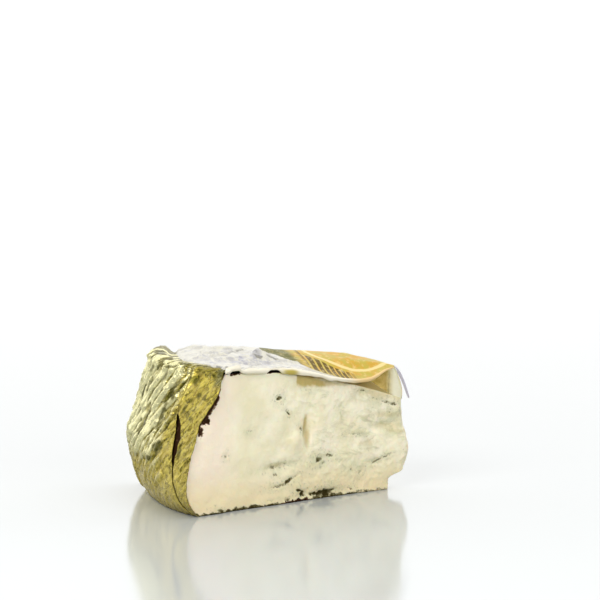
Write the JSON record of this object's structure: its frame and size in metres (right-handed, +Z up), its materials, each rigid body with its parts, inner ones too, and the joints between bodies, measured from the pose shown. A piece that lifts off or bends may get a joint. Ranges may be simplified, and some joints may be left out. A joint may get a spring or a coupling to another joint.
{
  "type": "wedge of blue cheese in foil",
  "caption": "Wedge of soft blue-veined cheese cut from a wheel, with gold foil round the rind and a printed foil sheet over the top.",
  "frame": {"origin": "centre of the wedge's box, on the surface it stands on", "axes": "+X towards the wedge's point, from the rind side, +Z up"},
  "size_m": [0.169, 0.1264, 0.0852],
  "materials": {
    "paste": "moist, soft and slightly glossy",
    "gold_foil": "crumpled and embossed, gold",
    "printed_foil": "printed white and gold, satin"
  },
  "bodies": {
    "root": {"cheese": "paste", "foil": "gold_foil", "sheet": "printed_foil"}
  },
  "joints": []
}
